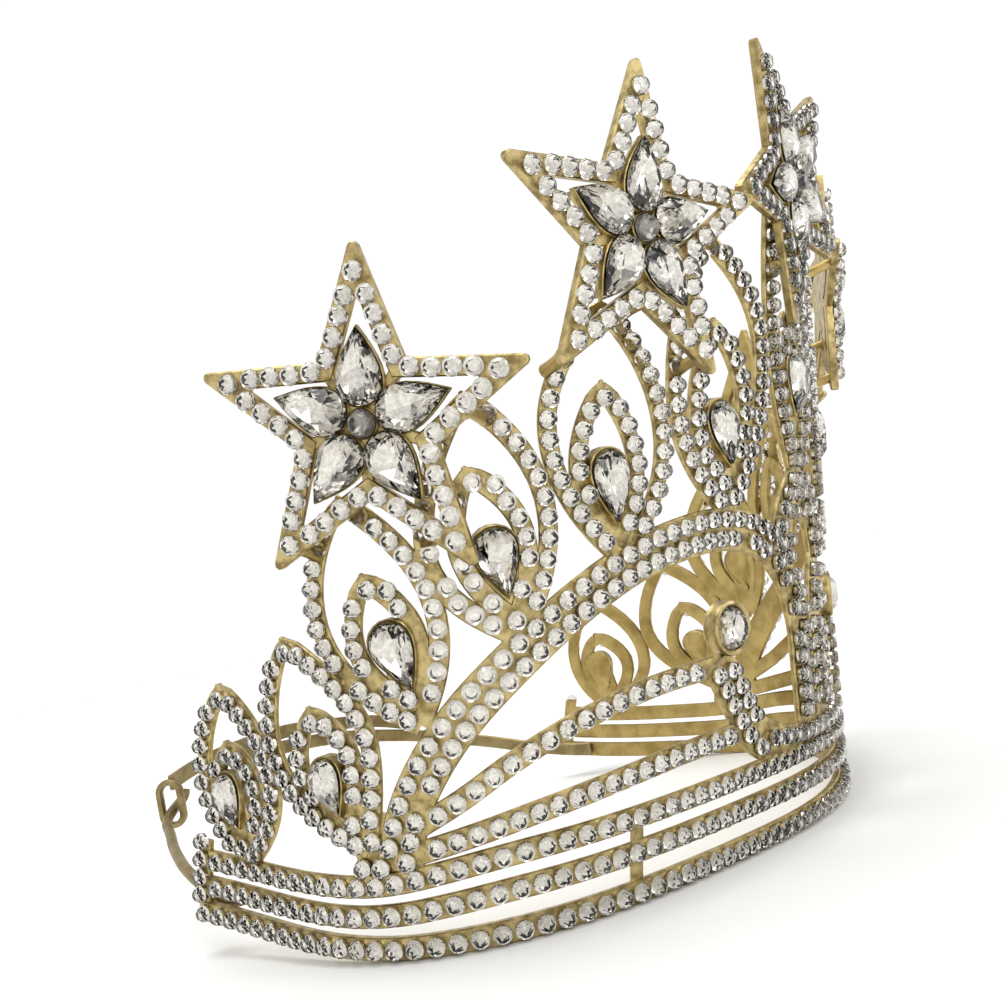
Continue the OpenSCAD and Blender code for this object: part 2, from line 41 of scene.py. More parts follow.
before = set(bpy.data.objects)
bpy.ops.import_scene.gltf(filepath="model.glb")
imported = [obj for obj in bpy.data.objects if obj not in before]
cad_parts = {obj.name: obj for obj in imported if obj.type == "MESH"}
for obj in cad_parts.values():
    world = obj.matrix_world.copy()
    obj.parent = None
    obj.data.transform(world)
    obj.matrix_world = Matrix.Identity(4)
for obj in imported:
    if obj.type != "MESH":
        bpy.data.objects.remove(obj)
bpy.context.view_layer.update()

# The flat pattern, in millimetres, as (arc length from the front centre, height)
OUTER_LEAVES = (
    ((136.5, 14.5), (147.6, 32), (126.2, 27), (140.5, 47)),
    ((103.5, 16), (124.8, 37.5), (101, 31), (118.6, 53)),
    ((91.5, 35), (109.2, 57.5), (86.8, 49.5), (101.5, 74)),
    ((73.8, 46), (87.6, 63), (66.8, 64), (79, 86)),
    ((53, 55), (65.4, 78), (41.8, 75), (53, 98)),
    ((26.5, 60), (38, 80), (12.6, 90), (27, 110)),
)
INNER_LEAVES = (
    ((136.8, 17), (143.8, 29), (131.3, 26), (140, 36.3)),
    ((105, 18), (117.2, 31.5), (104.8, 30), (113.6, 40.3)),
    ((92, 38), (101.8, 51.5), (90.2, 47), (98.8, 60.5)),
    ((74, 48.5), (82.4, 64), (70.8, 60), (79.6, 74)),
    ((54, 57.5), (60.4, 70.5), (48.3, 70), (54.3, 84.5)),
    ((26, 62.5), (33, 76.5), (19.3, 79), (26.2, 94.3)),
)
CENTRE_OUTER = ((0, 64), (7.8, 92), (0, 133))
CENTRE_INNER = ((0, 68), (5, 83), (0, 97))
# Pear cups of the leaves, the middle leaf's last: middle, turn, and width and length of its stone as parts
# of the largest one
LEAF_CUPS = (
    (139.4, 26.3, -14, 0.97, 0.81),
    (109.8, 27.4, -14, 0.89, 0.76),
    (93.9, 46.9, -15, 0.99, 0.94),
    (76, 58.6, -5, 0.97, 0.92),
    (54.6, 67.6, -2, 1, 1),
    (26.8, 74.2, -10, 0.96, 0.97),
    (0, 83, 0, 0.96, 0.97),
)
FINIAL = (29.8, 38.9)
STRUT = ((98.5, 12), (94.2, 23), (85, 34.3), (71, 44.6), (57, 51.8), (44, 55.6), (30, 56.8), (18, 54.4),
         (9.8, 47.5), (5.4, 37.5), (4.9, 26), (4.9, 15))
ROW_4 = ((96, 14), (84, 15.6), (74, 16.9), (60, 18.2), (45, 19.2), (27, 19.6))
ROW_5 = ((95, 18), (86, 21.6), (77, 25.8), (67, 29.2), (57, 31.2), (47, 32.3), (34, 32.5))
SLANT = ((32.6, 33.2), (30, 28.5), (27.2, 23), (23.5, 17.8), (17, 14.6))
FRONT_ROW = ((22, 15), (12, 13.4), (0, 13))
ARCH = ((10.5, 48), (8, 55), (4.2, 60), (0, 63))
FAN = ((100, 9.5), (99.6, 15), (98, 21))
BAR = ((57, -1), (56.2, 5), (55.4, 11))
# Stars: angle round the ring, height, stand-off, backward tilt, turn
STARS = {
    "low": (68.2, 84.8, 3.5, 8, 10.9),
    "mid": (36.7, 108.6, 6, 10.3, 6.3),
    "front": (0, 122.6, 1.58, 9.4, 30.5),
}
# Round stones of one arm of a star, its axis up: one at the tip and four pairs
ARM_STONES = ((0, 24.06), (1.86, 20.4), (-1.86, 20.4), (3.05, 17.2), (-3.05, 17.2), (4.2, 13.9), (-4.2, 13.9),
              (5.6, 10.6), (-5.6, 10.6))
# Posts of each star: foot in the pattern, then end behind the star in the star's own plane
STAR_POSTS = {
    "low": ((107, 66, 13.7, -19.9), (98.5, 71, 5.1, -14), (87, 64, -9.9, -17.3), (75.5, 82, -16.2, 1.5)),
    "mid": ((64.5, 88, 13.9, -20), (50, 96, -1.6, -11.7), (37.5, 86, -14.4, -20.3), (26.4, 109, -21, 5.3)),
    "front": ((6.6, 106, -5.4, -14.3), (-6.6, 106, -12.5, -11.9), (0, 132, 5.9, 9.4)),
}
# Strap and hook, as angle round the ring, radius, height
LOWER_STRAP = ((104, 74.1, 4.6), (109, 75.4, 5.2), (118, 79.6, 7.6), (128, 83, 12), (143, 84.6, 18.6),
               (158, 81, 23.2), (172, 77.4, 25.2), (186, 77, 25.8))
UPPER_STRAP = ((141, 84.6, 21.2), (150, 83.4, 25.4), (161, 80.2, 27.8), (173, 77.4, 29.4), (186, 77, 29),
               (197, 78.4, 28), (208, 80.2, 26))
HOOK = ((-104, 73.7, 6.4), (-109, 75, 6.9), (-114, 75.6, 9), (-121, 76, 11.4), (-130, 76.4, 13.4),
        (-140, 78, 15.6), (-147, 80.6, 17.8), (-151.4, 80.8, 19.5), (-154.2, 80.1, 20.9), (-155.6, 79.7, 22),
        (-156, 79.5, 23.4))
# The strap's eye: its place as above, its outer size, its hole, and its depth
EYE = (208.6, 80.8, 21.2)
EYE_SIZE, EYE_HOLE, EYE_DEPTH = (6.6, 12), (3.5, 8.4), 2.4

# Plan of the ring: cosine lobes 2 to 5 as parts of its radius, centre, and step in degrees along it
LOBES, CENTRE_Y, PLAN_STEP = (-0.056, 0.013, -0.065, 0.051), 11.95, 2.5
# Height of the pattern's zero over the floor, and heights between which the wall bends further outwards
DATUM, BEND_HEIGHT, STAR_HEIGHT = 3.0, 58, 122
# Half the panel's length, and the rise of the rows towards its ends
PANEL_HALF, RIM_RISE, RISE_START = 153, 6.5, 95
STRIP_WIDTH, LEAF_WIDTH, DOUBLE_WIDTH, STRIP_THICK, BAND_THICK = 3.9, 3.5, 7.9, 1.24, 1.8
FAN_WIDTH, BAR_WIDTH, FOOT_WIDTH = 13.0, 2.6, 6.0
STAR_THICK, STAR_STRIP, STAR_NOTCH, TIP_ROUND, SPOKE_WIDTH = 1.8, 3.3, 11.5, 0.9, 2.0
CUP_WALL, CUP_BASE, CUP_OFF, STONE_GAP, STONE_HEIGHT = 0.35, 0.4, 0.3, 0.12, 3.0
STAR_PEAR_START, PAD_INSET, PEAR_TAPER = 2.8, 0.6, 1.2
# Upright row at each panel end: distance in from the end, height over the lowest row
END_RISE, END_WIDTH = ((0.4, -1.8), (1, 4.5), (3, 13.5)), 3.4
# Distance inwards of the ends of the second and third row's stones, and of the third row's strip
ROW_2_END, ROW_3_END, ROW_3_STRIP_END = 4, 5, 2.5
# Leaf ends: length over which the sides narrow, their width at the end, and the point laid over them as
# distance in from the end and width
TIP_TAPER, TIP_WIDTH = 2.6, 2.0
TIP_POINTS = ((2.2, 3.5), (1.0, 3.0), (-1.1, 0.6))
# Finial setting: height of the stone's seat over the wall, and diameters beyond the stone's with heights
FINIAL_SEAT = 0.6
FINIAL_RINGS = ((2 * STONE_GAP, FINIAL_SEAT), (2 * STONE_GAP, 2.1), (1.0, 2.4), (2.0, 2.2), (2.4, 1.5),
                (1.8, 0.6), (2.2, -0.4), (1.0, -1.2))
# Domed back of a cup: distance in from its outline, depth
CUP_DOME = ((0, 1.0), (0.5, 1.42), (1.3, 1.75))
# Turned posts: place along the post, radius
POST_RINGS = ((0, 1.5), (0.2, 1.25), (0.5, 1.05), (0.85, 1.15), (1, 1.25))
# Cuts of the main stones: girdle's height and table's width, as parts of the stone's
CUTS = {"leaf": (0.4, 0.58), "finial": (0.42, 0.62), "petal": (0.4, 0.52), "middle": (0.45, 0.6)}
STONE_SIDES, ROUND_SIDES = 20, 16
ROW_STONE_HEIGHT, STAR_STONE_HEIGHT = 1.95, 1.7
# Small stones: spare ends of rows, double rows and leaves, the tip stone's distance from a leaf's end, step
# and spare end of the second pass, room to the next as a part of their pitch, and room to a cup's outline
ROW_MARGIN, DOUBLE_MARGIN, LEAF_MARGIN, TIP_SEAT = 1.9, 1.8, 5.0, 2.1
FINE_STEP, FINE_MARGIN, STONE_ROOM, CUP_ROOM = 0.4, 1.6, 0.955, 1.05
# Hub of the strut and the rows: span along the pattern, lowest height, rows
HUB_SPAN, HUB_FOOT, HUB_ROWS = (91.5, 108), 11.6, 6
# Rows up to this height are one piece of small stones, and the rest is another
ROWS_TOP = 14.5
# Area lights: place, size, power by name, tone
LIGHTS = {
    "key_light": ((-0.75, -0.75, 0.8), 0.6, "key", (1, 0.985, 0.96)),
    "fill_light": ((0.5, -1.0, 0.45), 0.5, "fill", (0.97, 0.985, 1)),
    "top_light": ((-0.1, 0.3, 1.1), 0.5, "fill", (1, 1, 1)),
}
LIGHT_AIM = (0, -0.02, 0.07)
# Brightness of the room by height, from the white backdrop to the ceiling
SKY = ((0.62, 1.02), (0.67, 0.35), (0.86, 0.3), (0.92, 3.0))


def srgb(code):
    """Linear colour of an sRGB hex value."""
    values = [int(code[i:i + 2], 16) / 255 for i in (1, 3, 5)]
    return tuple(v / 12.92 if v <= 0.04045 else ((v + 0.055) / 1.055) ** 2.4 for v in values) + (1.0,)


def length(name, description, millimetres):
    """A length property."""
    return FloatProperty(name=name, description=description, default=millimetres / 1000, subtype="DISTANCE",
                         precision=5)


def pair(name, description, millimetres):
    """A property of a width and a length."""
    return FloatVectorProperty(name=name, description=description, size=2, subtype="XYZ_LENGTH", precision=5,
                               default=[v / 1000 for v in millimetres])


def tint(name, description, code):
    """A colour property."""
    return FloatVectorProperty(name=name, description=description, size=4, subtype="COLOR", min=0, max=1,
                               default=srgb(code))


def angle(name, description, degrees):
    """An angle property."""
    return FloatProperty(name=name, description=description, default=math.radians(degrees), subtype="ANGLE")


def power(name, description, watts):
    """A light's power property."""
    return FloatProperty(name=name, description=description, default=watts, unit="POWER")


def part(name, description, value):
    """A ratio property."""
    return FloatProperty(name=name, description=description, default=value, subtype="FACTOR")


class CrownSizes(PropertyGroup):
    """Sizes of the crown."""

    ring_radius: length("Ring radius", "Mean radius of the ring", 78.3)
    wall_lean: part("Wall lean", "Forward lean for each unit of height", 0.123)
    wall_flare: part("Wall flare", "Growth of the radius for each unit of height", 0.019)
    wall_bend: length("Wall bend", "Extra growth at the height of the front star", 2.3)
    star_radius: length("Star radius", "Centre to tip of a star", 28.9)
    round_stone: length("Small stone", "Diameter of the strips' round stones", 3.32)
    round_pitch: length("Small stone pitch", "From one round stone to the next", 3.45)
    star_stone: length("Star stone", "Diameter of the stars' round stones", 3.43)
    leaf_pear: pair("Leaf pear", "Width and length of the largest pear in the leaves", (7.4, 12.4))
    star_pear: pair("Star pear", "Width and length of the pears in the stars", (7.8, 12.6))
    star_round: length("Star middle stone", "Diameter of the stars' middle stones", 4.8)
    big_round: length("Finial stone", "Diameter of the two large round stones", 8.0)
    strap_width: length("Strap width", "Width of the strap's strips", 3.6)
    strap_thick: length("Strap thickness", "Thickness of the strap's strips", 1.4)
    wire: length("Hook wire", "Diameter of the hook wire", 2.4)
    seed: IntProperty(name="Seed", description="Sets the small turns of the stones in their seats", default=7)


class CrownFinish(PropertyGroup):
    """Colours of the crown's metals and stones."""

    antique: tint("Antique gold", "Plated brass, darkened", "#c3b07c")
    antique_dark: tint("Antique recess", "Patina in the hollows", "#84734a")
    satin: tint("Satin gold", "Bare inner face of the plating", "#bda76c")
    satin_dark: tint("Satin shade", "Duller patches inside", "#9c8650")
    strap: tint("Strap gold", "Greyish plating of the strap", "#9c8c63")
    strap_dark: tint("Strap shade", "Duller patches of the strap", "#7d6e4a")
    crystal: tint("Crystal", "Tint of the cut glass", "#f6f5f2")
    foil: tint("Foil", "Silver foil behind the stones", "#e6e3dd")
    foil_dull: tint("Foil specks", "Dull specks of the foil", "#c4bfb6")
    worn_foil: tint("Worn foil", "Foil of the stars' middle stones", "#8a8680")
    floor: tint("Floor", "Studio floor", "#f4f4f2")


class CrownStage(PropertyGroup):
    """Camera and lights."""

    camera_at: FloatVectorProperty(name="Camera", description="Place of the camera", size=3, precision=5,
                                   subtype="TRANSLATION", default=(-0.236871, -0.148265, 0.055144))
    azimuth: angle("Azimuth", "Side the camera looks from", -58.27)
    elevation: angle("Elevation", "Height of the view", -4.76)
    roll: angle("Roll", "Roll of the view", 11.99)
    focal: FloatProperty(name="Focal length", description="For a frame 36 mm wide", default=42.925,
                         subtype="DISTANCE_CAMERA")
    key: power("Key light", "Power of the large soft light", 3.0)
    fill: power("Fill light", "Power of the softer lights", 1.6)


# Ring geometry

def plan(angle):
    """Radius of the ring's plan at an angle from the front, in degrees."""
    a = np.radians(angle)
    lobes = sum(c * np.cos(k * a) for c, k in zip(LOBES, (2, 3, 4, 5)))
    return mm("ring_radius") * (1 + lobes)


def mm(name):
    """A size of the crown in millimetres, or a pair of them."""
    value = getattr(bpy.context.scene.crown_sizes, name)
    return [v * 1000 for v in value] if hasattr(value, "__len__") else value * 1000


def growth(z):
    """How much wider the ring is at a height, as a part of its radius."""
    steep = np.maximum(0, z - BEND_HEIGHT) / (STAR_HEIGHT - BEND_HEIGHT)
    return (bpy.context.scene.crown_sizes.wall_flare * z + mm("wall_bend") * steep) / mm("ring_radius")


def wall(angle, z, off):
    """Points on the wall at angles, pattern heights and stand-offs."""
    angle, z, off = np.broadcast_arrays(*(np.asarray(v, float) for v in (angle, z, off)))
    r = plan(angle) * (1 + growth(z) + off / mm("ring_radius"))
    a = np.radians(angle)
    lean = bpy.context.scene.crown_sizes.wall_lean * z
    return np.stack([r * np.sin(a), CENTRE_Y - r * np.cos(a) - lean, z + DATUM], -1)


def feet(angles):
    """Points of the plan at angles, from its centre."""
    r, a = plan(angles), np.radians(angles)
    return np.stack([r * np.sin(a), -r * np.cos(a)], -1)


def arc_table():
    """Arc lengths and angles, by adding the chords of the plan."""
    angles = np.arange(0, 181, PLAN_STEP)
    return np.concatenate([[0], np.cumsum(step_lengths(feet(angles)))]), angles


def angle_at(s):
    """Angle round the ring at an arc length."""
    lengths, angles = arc_table()
    s = np.asarray(s, float)
    return np.sign(s) * np.interp(np.abs(s), lengths, angles)


def spot(points, off):
    """Points on the wall from points of the flat pattern."""
    points = np.asarray(points, float)
    return wall(angle_at(points[..., 0]), points[..., 1], off)


def ease(s):
    """Goes from 0 to 1 along the stretch in which the rows draw together."""
    t = np.clip((np.abs(s) - 75) / 35, 0, 1)
    return t * t * (3 - 2 * t)


def row_height(k, s):
    """Height of the lowest three rows along the ring."""
    rise = RIM_RISE * (np.maximum(0, np.abs(s) - RISE_START) / (PANEL_HALF - RISE_START)) ** 1.6
    return -1 + rise + (0, 6.6 - 1.4 * ease(s), 12.3 - 2 * ease(s))[k - 1]


def row_path(k, end):
    """Flat path of one of the lowest rows."""
    s = np.linspace(-end, end, int(end) + 1)
    return np.stack([s, row_height(k, s)], -1)


def through(points, steps=6):
    """Smooth path through points."""
    p = np.asarray(points, float)
    n = len(p) - 1
    out = []
    for i in range(n):
        a, b, c, d = p[max(0, i - 1)], p[i], p[i + 1], p[min(n, i + 2)]
        for j in range(steps):
            t = j / steps
            out.append(0.5 * (2 * b + (c - a) * t + (2 * a - 5 * b + 4 * c - d) * t * t
                              + (3 * b - a - 3 * c + d) * t ** 3))
    return np.array(out + [p[n]])


def leaf_side(base, belly, tip, steps=12):
    """One side of a leaf: base to belly to tip."""
    base, belly, tip = (np.array(v, float) for v in (base, belly, tip))
    low = belly - [0, 0.52 * (belly[1] - base[1])]
    high = belly + [0, 0.52 * (tip[1] - belly[1])]
    t = np.linspace(0, 1, steps + 1)[:, None]
    first = (1 - t) ** 2 * base + 2 * t * (1 - t) * low + t * t * belly
    second = (1 - t) ** 2 * belly + 2 * t * (1 - t) * high + t * t * tip
    return np.concatenate([first[:-1], second])


def mirrored(path):
    """A path that ends at the front centre, with its mirror image."""
    path = np.asarray(path, float)
    return np.concatenate([path, path[-2::-1] * [-1, 1]])


def polar(points):
    """Points from angle, radius and height."""
    p = np.asarray(points, float)
    a = np.radians(p[..., 0])
    return np.stack([p[..., 1] * np.sin(a), CENTRE_Y - p[..., 1] * np.cos(a), p[..., 2] + DATUM], -1)


def step_lengths(path):
    """Distances from each point of a path to the next."""
    return np.linalg.norm(np.diff(path, axis=0), axis=1)


def unit(v):
    """Vectors scaled to a length of one."""
    return v / np.linalg.norm(v, axis=-1, keepdims=True)


def sides_of(path):
    """Unit vectors square to a flat path, at its points."""
    path = np.asarray(path, float)
    n = len(path)
    ahead = path[np.minimum(n - 1, np.arange(n) + 1)] - path[np.maximum(0, np.arange(n) - 1)]
    return unit(np.stack([-ahead[:, 1], ahead[:, 0]], -1))


# Frames of flat pieces: 3 by 4 matrices from local millimetres to the crown

def placed(matrix, points):
    """Local points carried to the crown by a frame."""
    return np.asarray(points, float) @ matrix[:, :3].T + matrix[:, 3]


def turned(degrees):
    """Turn about Z."""
    a = math.radians(degrees)
    return np.array([[math.cos(a), -math.sin(a), 0], [math.sin(a), math.cos(a), 0], [0, 0, 1]])


def spun(matrix, degrees):
    """A frame turned about its own Z."""
    return np.column_stack([matrix[:, :3] @ turned(degrees), matrix[:, 3]])


def square_to_wall(s, z, turn, off):
    """Frame on the wall: local X along the pattern, Y up, Z outwards."""
    a = float(angle_at(s))
    along = unit((wall(a + 1, z, off) - wall(a - 1, z, off)) * [1, 1, 0])
    out = unit(np.cross(along, wall(a, z + 1, off) - wall(a, z - 1, off)))
    basis = np.stack([along, np.cross(out, along), out], 1) @ turned(turn)
    return np.column_stack([basis, wall(a, z, off)])


def star_frame(name):
    """Frame of a star on the left or at the front: Y up its first arm, Z outwards."""
    angle, height, off, tilt, turn = STARS[name]
    right, left = feet(np.array([angle - 1, angle + 1]))
    along = unit(np.append(left - right, 0))
    t = math.radians(tilt)
    up = math.cos(t) * np.array([0, 0, 1]) + math.sin(t) * np.cross(along, [0, 0, 1])
    basis = np.stack([along, up, np.cross(along, up)], 1) @ turned(turn)
    return np.column_stack([basis, wall(angle, height, off)])


def mirror(matrix):
    """The frame on the other side of the crown."""
    return np.diag([-1, 1, 1]) @ matrix


def both_sides(matrix, single=False):
    """Name endings and frames of a left part and its right one, or of a single one at the front."""
    return [("", matrix)] if single else [("_left", matrix), ("_right", mirror(matrix))]


def stars():
    """Names and frames of the five stars."""
    for name in STARS:
        for side, matrix in both_sides(star_frame(name), name == "front"):
            yield "star_" + name + side, matrix


def pear_seat(matrix, i):
    """Frame of one of a star's pear stones, its point towards the star's middle."""
    arm = spun(matrix, 72 * i)
    middle = placed(arm, [[0, STAR_PEAR_START + mm("star_pear")[1] / 2, 0]])[0]
    return np.column_stack([arm[:, :3] @ turned(180), middle])


class Shape:
    """Points and faces of one piece, in millimetres."""

    def __init__(self):
        self.points, self.faces, self.kinds, self.count = [], [], [], 0

    def add(self, points, faces, kinds):
        """Adds faces with their material indices; the faces count from this call's first point."""
        points = np.asarray(points, float).reshape(-1, 3)
        self.points.append(points)
        self.faces.extend([tuple(i + self.count for i in f) for f in faces])
        self.kinds.extend(kinds)
        self.count += len(points)

    def tube(self, rings, kinds, closed=False):
        """Skin over rings of points; kinds has one material index for each side of the ring."""
        n, m = np.shape(rings)[:2]
        faces = bands(m, 0, n - 1)
        if closed:
            last = (n - 1) * m
            faces += [(last + k, last + (k + 1) % m, (k + 1) % m, k) for k in range(m)]
        marks = kinds * (len(faces) // m)
        if not closed:
            faces += [tuple(range(m)), tuple((n - 1) * m + k for k in reversed(range(m)))]
            marks += [kinds[0]] * 2
        self.add(rings, faces, marks)

    def make(self, name, materials, smooth=None, replaces=()):
        """The finished piece, smooth up to an angle in degrees, in place of the nodes it replaces."""
        mesh = bpy.data.meshes.new(name)
        mesh.from_pydata((np.concatenate(self.points) / 1000).tolist(), [], self.faces)
        mesh.polygons.foreach_set("material_index", np.array(self.kinds, np.int32))
        for m in materials:
            mesh.materials.append(m)
        bm = bmesh.new()
        bm.from_mesh(mesh)
        bmesh.ops.recalc_face_normals(bm, faces=bm.faces)
        bm.to_mesh(mesh)
        bm.free()
        if smooth is not None:
            mesh.shade_smooth()
            mesh.set_sharp_from_angle(angle=math.radians(smooth))
        piece = bpy.data.objects.new(name, mesh)
        bpy.context.scene.collection.objects.link(piece)
        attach(piece, "root")
        if replaces:
            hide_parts(*replaces)
        return piece


# Strip section: crisp outer edges, worn round on the inner face. Side, distance in from the edge, face that
# the depth is measured from (1 the outer one, -1 the inner one), depth
SECTION = ((-1, 0, 1, 0.2), (-1, 0.2, 1, 0), (1, 0.2, 1, 0), (1, 0, 1, 0.2), (1, 0, -1, 0.5),
           (1, 0.14, -1, 0.16), (1, 0.5, -1, 0), (-1, 0.5, -1, 0), (-1, 0.14, -1, 0.16), (-1, 0, -1, 0.5))
# Crossing strips stand this much over each other, so their faces never coincide, and the feet of the
# leaves lie a little deeper
LIFT, FOOT_LIFT = 0.002, -0.05


def strip(shape, path, width=STRIP_WIDTH, thick=STRIP_THICK, lift=0.0):
    """A strip along a flat path; its width is one value or one for each point."""
    path = np.asarray(path, float)
    side = sides_of(path)
    half = np.broadcast_to(width, len(path))[:, None] / 2
    rings = [spot(path + side * (e * (half - u)), face * (thick / 2 - v) + lift) for e, u, face, v in SECTION]
    shape.tube(np.stack(rings, 1), [0, 0, 0, 0, 1, 1, 1, 1, 1, 0])


def leaf_strip(shape, path, lift):
    """A leaf's side, narrowed towards its tip."""
    to_tip = np.append(np.cumsum(step_lengths(path)[::-1])[::-1], 0)
    strip(shape, path, np.interp(to_tip, (0, TIP_TAPER), (TIP_WIDTH, LEAF_WIDTH)), lift=lift)


def in_from_tip(back, front, distance):
    """Point on a leaf's middle line at a distance from the tip where its two sides meet."""
    return back[-1] + unit((back[-4] + front[-4]) / 2 - back[-1]) * distance


def leaf_tip(shape, back, front, lift):
    """Pointed end of a leaf."""
    distances, widths = np.transpose(TIP_POINTS)
    strip(shape, [in_from_tip(back, front, d) for d in distances], widths, lift=lift)


def both_ways(path):
    """A path and its mirror image."""
    path = np.asarray(path, float)
    return path, path * [-1, 1]


def pear(width, length, count=24):
    """Pear outline with its round end up and its point down."""
    t = 2 * np.pi * np.arange(count) / count
    widest = math.sqrt((PEAR_TAPER + 1) / (PEAR_TAPER + 2))
    scale = 0.25 / (widest ** (PEAR_TAPER + 1) * math.sqrt(1 - widest ** 2))
    return np.stack([scale * width * np.sin(t) * np.sin(t / 2) ** PEAR_TAPER, -0.5 * length * np.cos(t)], -1)


def ring_outline(diameter, count=24):
    """Points of a circle."""
    t = 2 * np.pi * np.arange(count) / count
    return 0.5 * diameter * np.stack([np.cos(t), np.sin(t)], -1)


def ray(angle, r):
    """Flat point at an angle from straight up."""
    return np.array([r * math.sin(angle), r * math.cos(angle)])


def star_edge():
    """Turn of the star's edges from a tip's axis, and their distance from the middle."""
    core, half = mm("star_radius") - TIP_ROUND, math.pi / 5
    turn = math.atan((core - STAR_NOTCH * math.cos(half)) / (STAR_NOTCH * math.sin(half)))
    return turn, core * math.cos(turn) + TIP_ROUND


def star_loop(inset, tip_round):
    """The star's outline at an inset from its edge: four points round each tip, one at each notch."""
    turn, reach = star_edge()
    points = []
    for i in range(5):
        a = 2 * math.pi * i / 5
        centre = ray(a, (reach - inset - tip_round) / math.cos(turn))
        points += [centre + ray(a + turn * (2 * j / 3 - 1), tip_round) for j in range(4)]
        points.append(ray(a + math.pi / 5, (reach - inset) / math.cos(turn - math.pi / 5)))
    return np.array(points)


def grown(outline, distance):
    """The outline moved outwards by a distance."""
    ahead = np.roll(outline, -1, 0) - np.roll(outline, 1, 0)
    out = unit(np.stack([ahead[:, 1], -ahead[:, 0]], -1))
    x, y = outline.T
    area = np.sum(x * np.roll(y, -1) - np.roll(x, -1) * y)
    return outline + out * distance * np.sign(area)


def loop_at(outline, z):
    """The outline at a height."""
    return np.column_stack([outline, np.full(len(outline), z)])


def bands(n, first, count):
    """Faces between loops of n points that follow each other, from the loop that starts at point first."""
    return [(a + i, a + (i + 1) % n, a + n + (i + 1) % n, a + n + i)
            for a in range(first, first + count * n, n) for i in range(n)]


def rim(shape, matrix, inner, outer, low, high):
    """A thin upright wall between two outlines, with a softened top edge."""
    mid, soft = (inner + outer) / 2, high - 0.15
    loops = [loop_at(*at) for at in ((inner, low), (inner, soft), (mid, high), (outer, soft), (outer, low))]
    wrapped(shape, matrix, loops, [0] * 5)


def wrapped(shape, matrix, loops, kinds):
    """A closed skin over outlines of as many points each."""
    rings = placed(matrix, np.stack(loops, 1).reshape(-1, 3)).reshape(len(loops[0]), len(loops), 3)
    shape.tube(rings, kinds, closed=True)


def slab(shape, matrix, outline, low, high):
    """A plate from an outline, its upper edge softened."""
    inset = grown(outline, -0.2)
    loops = np.stack([loop_at(outline, low), loop_at(outline, high - 0.2), loop_at(inset, high)])
    n = len(outline)
    points = placed(matrix, loops.reshape(-1, 3))
    faces = bands(n, 0, 2) + [tuple(range(n)), tuple(range(2 * n, 3 * n))]
    shape.add(points, faces, [0] * len(faces))


# Materials

def fit(tree, n, settings=None, **links):
    """Sets a node's inputs or properties, and links other nodes' outputs to its inputs."""
    for key, value in (settings or {}).items():
        if hasattr(n, key):
            setattr(n, key, value)
        else:
            n.inputs[key].default_value = value
    for key, source in links.items():
        tree.links.new(source, n.inputs[key.replace("_", " ")])
    return n


def node(tree, kind, settings=None, **links):
    """Adds a node with its settings and links."""
    return fit(tree, tree.nodes.new(kind), settings, **links)


def noise(tree, size, **settings):
    """Noise with patches of a size in millimetres, fixed to the object."""
    where = node(tree, "ShaderNodeTexCoord").outputs["Object"]
    return node(tree, "ShaderNodeTexNoise", {"Scale": 1000 / size, **settings}, Vector=where).outputs["Fac"]


def relief(tree, height, strength, depth):
    """Bumps of a depth in millimetres."""
    bump = node(tree, "ShaderNodeBump", {"Strength": strength, "Distance": depth / 1000}, Height=height)
    return bump.outputs["Normal"]


def ramp(tree, source, first, *between, last):
    """Colours by a value; each stop is a position and its colour."""
    scale = node(tree, "ShaderNodeValToRGB", Fac=source)
    stops = scale.color_ramp.elements
    for stop, place in zip(stops, (first, last)):
        stop.position, stop.color = place
    for position, tone in between:
        stops.new(position).color = tone
    return scale.outputs["Color"]


def blank(name):
    """A node material with only its surface shader left to set."""
    material = bpy.data.materials.new(name)
    material.use_nodes = True
    tree = material.node_tree
    shader = next(n for n in tree.nodes if n.type == "BSDF_PRINCIPLED")
    return material, tree, shader


def colour(name):
    """One of the crown's colours."""
    return getattr(bpy.context.scene.crown_finish, name)


def plated_metal(name, tone, roughness, spread, patch, grain, depth):
    """Gold plate over brass: patches of patina and a fine grain, in millimetres."""
    material, tree, shader = blank(name)
    patina = noise(tree, patch, Detail=4.0, Roughness=0.6)
    base = ramp(tree, patina, (0.36, colour(tone + "_dark")), last=(0.6, colour(tone)))
    tooth = noise(tree, grain, Detail=3.0)
    limits = {"To Min": roughness - spread, "To Max": roughness + spread}
    gloss = node(tree, "ShaderNodeMapRange", limits, Value=tooth).outputs["Result"]
    bumps = relief(tree, tooth, 0.5, depth)
    fit(tree, shader, {"Metallic": 1.0}, Base_Color=base, Roughness=gloss, Normal=bumps)
    return material


def antique_gold_plate():
    # Gold plate over cast brass, darkened with a patina and rubbed back: warm brown hollows, dull gold edges
    return plated_metal("antique_gold_plate", "antique", 0.4, 0.12, 2.2, 0.35, 0.05)


def satin_gold_plate():
    # The same plate as it left the tumbler on the inner faces: even, light and satin
    return plated_metal("satin_gold_plate", "satin", 0.42, 0.1, 6.0, 0.25, 0.03)


def dull_strap_plate():
    # Thin plate on rolled brass strip: greyer and duller than the casting, with faint handling marks
    return plated_metal("dull_strap_plate", "strap", 0.45, 0.1, 4.0, 0.3, 0.03)


def cut_crystal():
    # Machine-cut lead glass, polished: clear, IOR 1.58, so the foil behind it shows broken up by the facets
    material, tree, shader = blank("cut_crystal")
    tone = ramp(tree, noise(tree, 30, Detail=1.0), (0, colour("crystal")), last=(1, srgb("#ffffff")))
    fit(tree, shader, {"Roughness": 0.0, "IOR": 1.58, "Transmission Weight": 1.0}, Base_Color=tone)
    return material


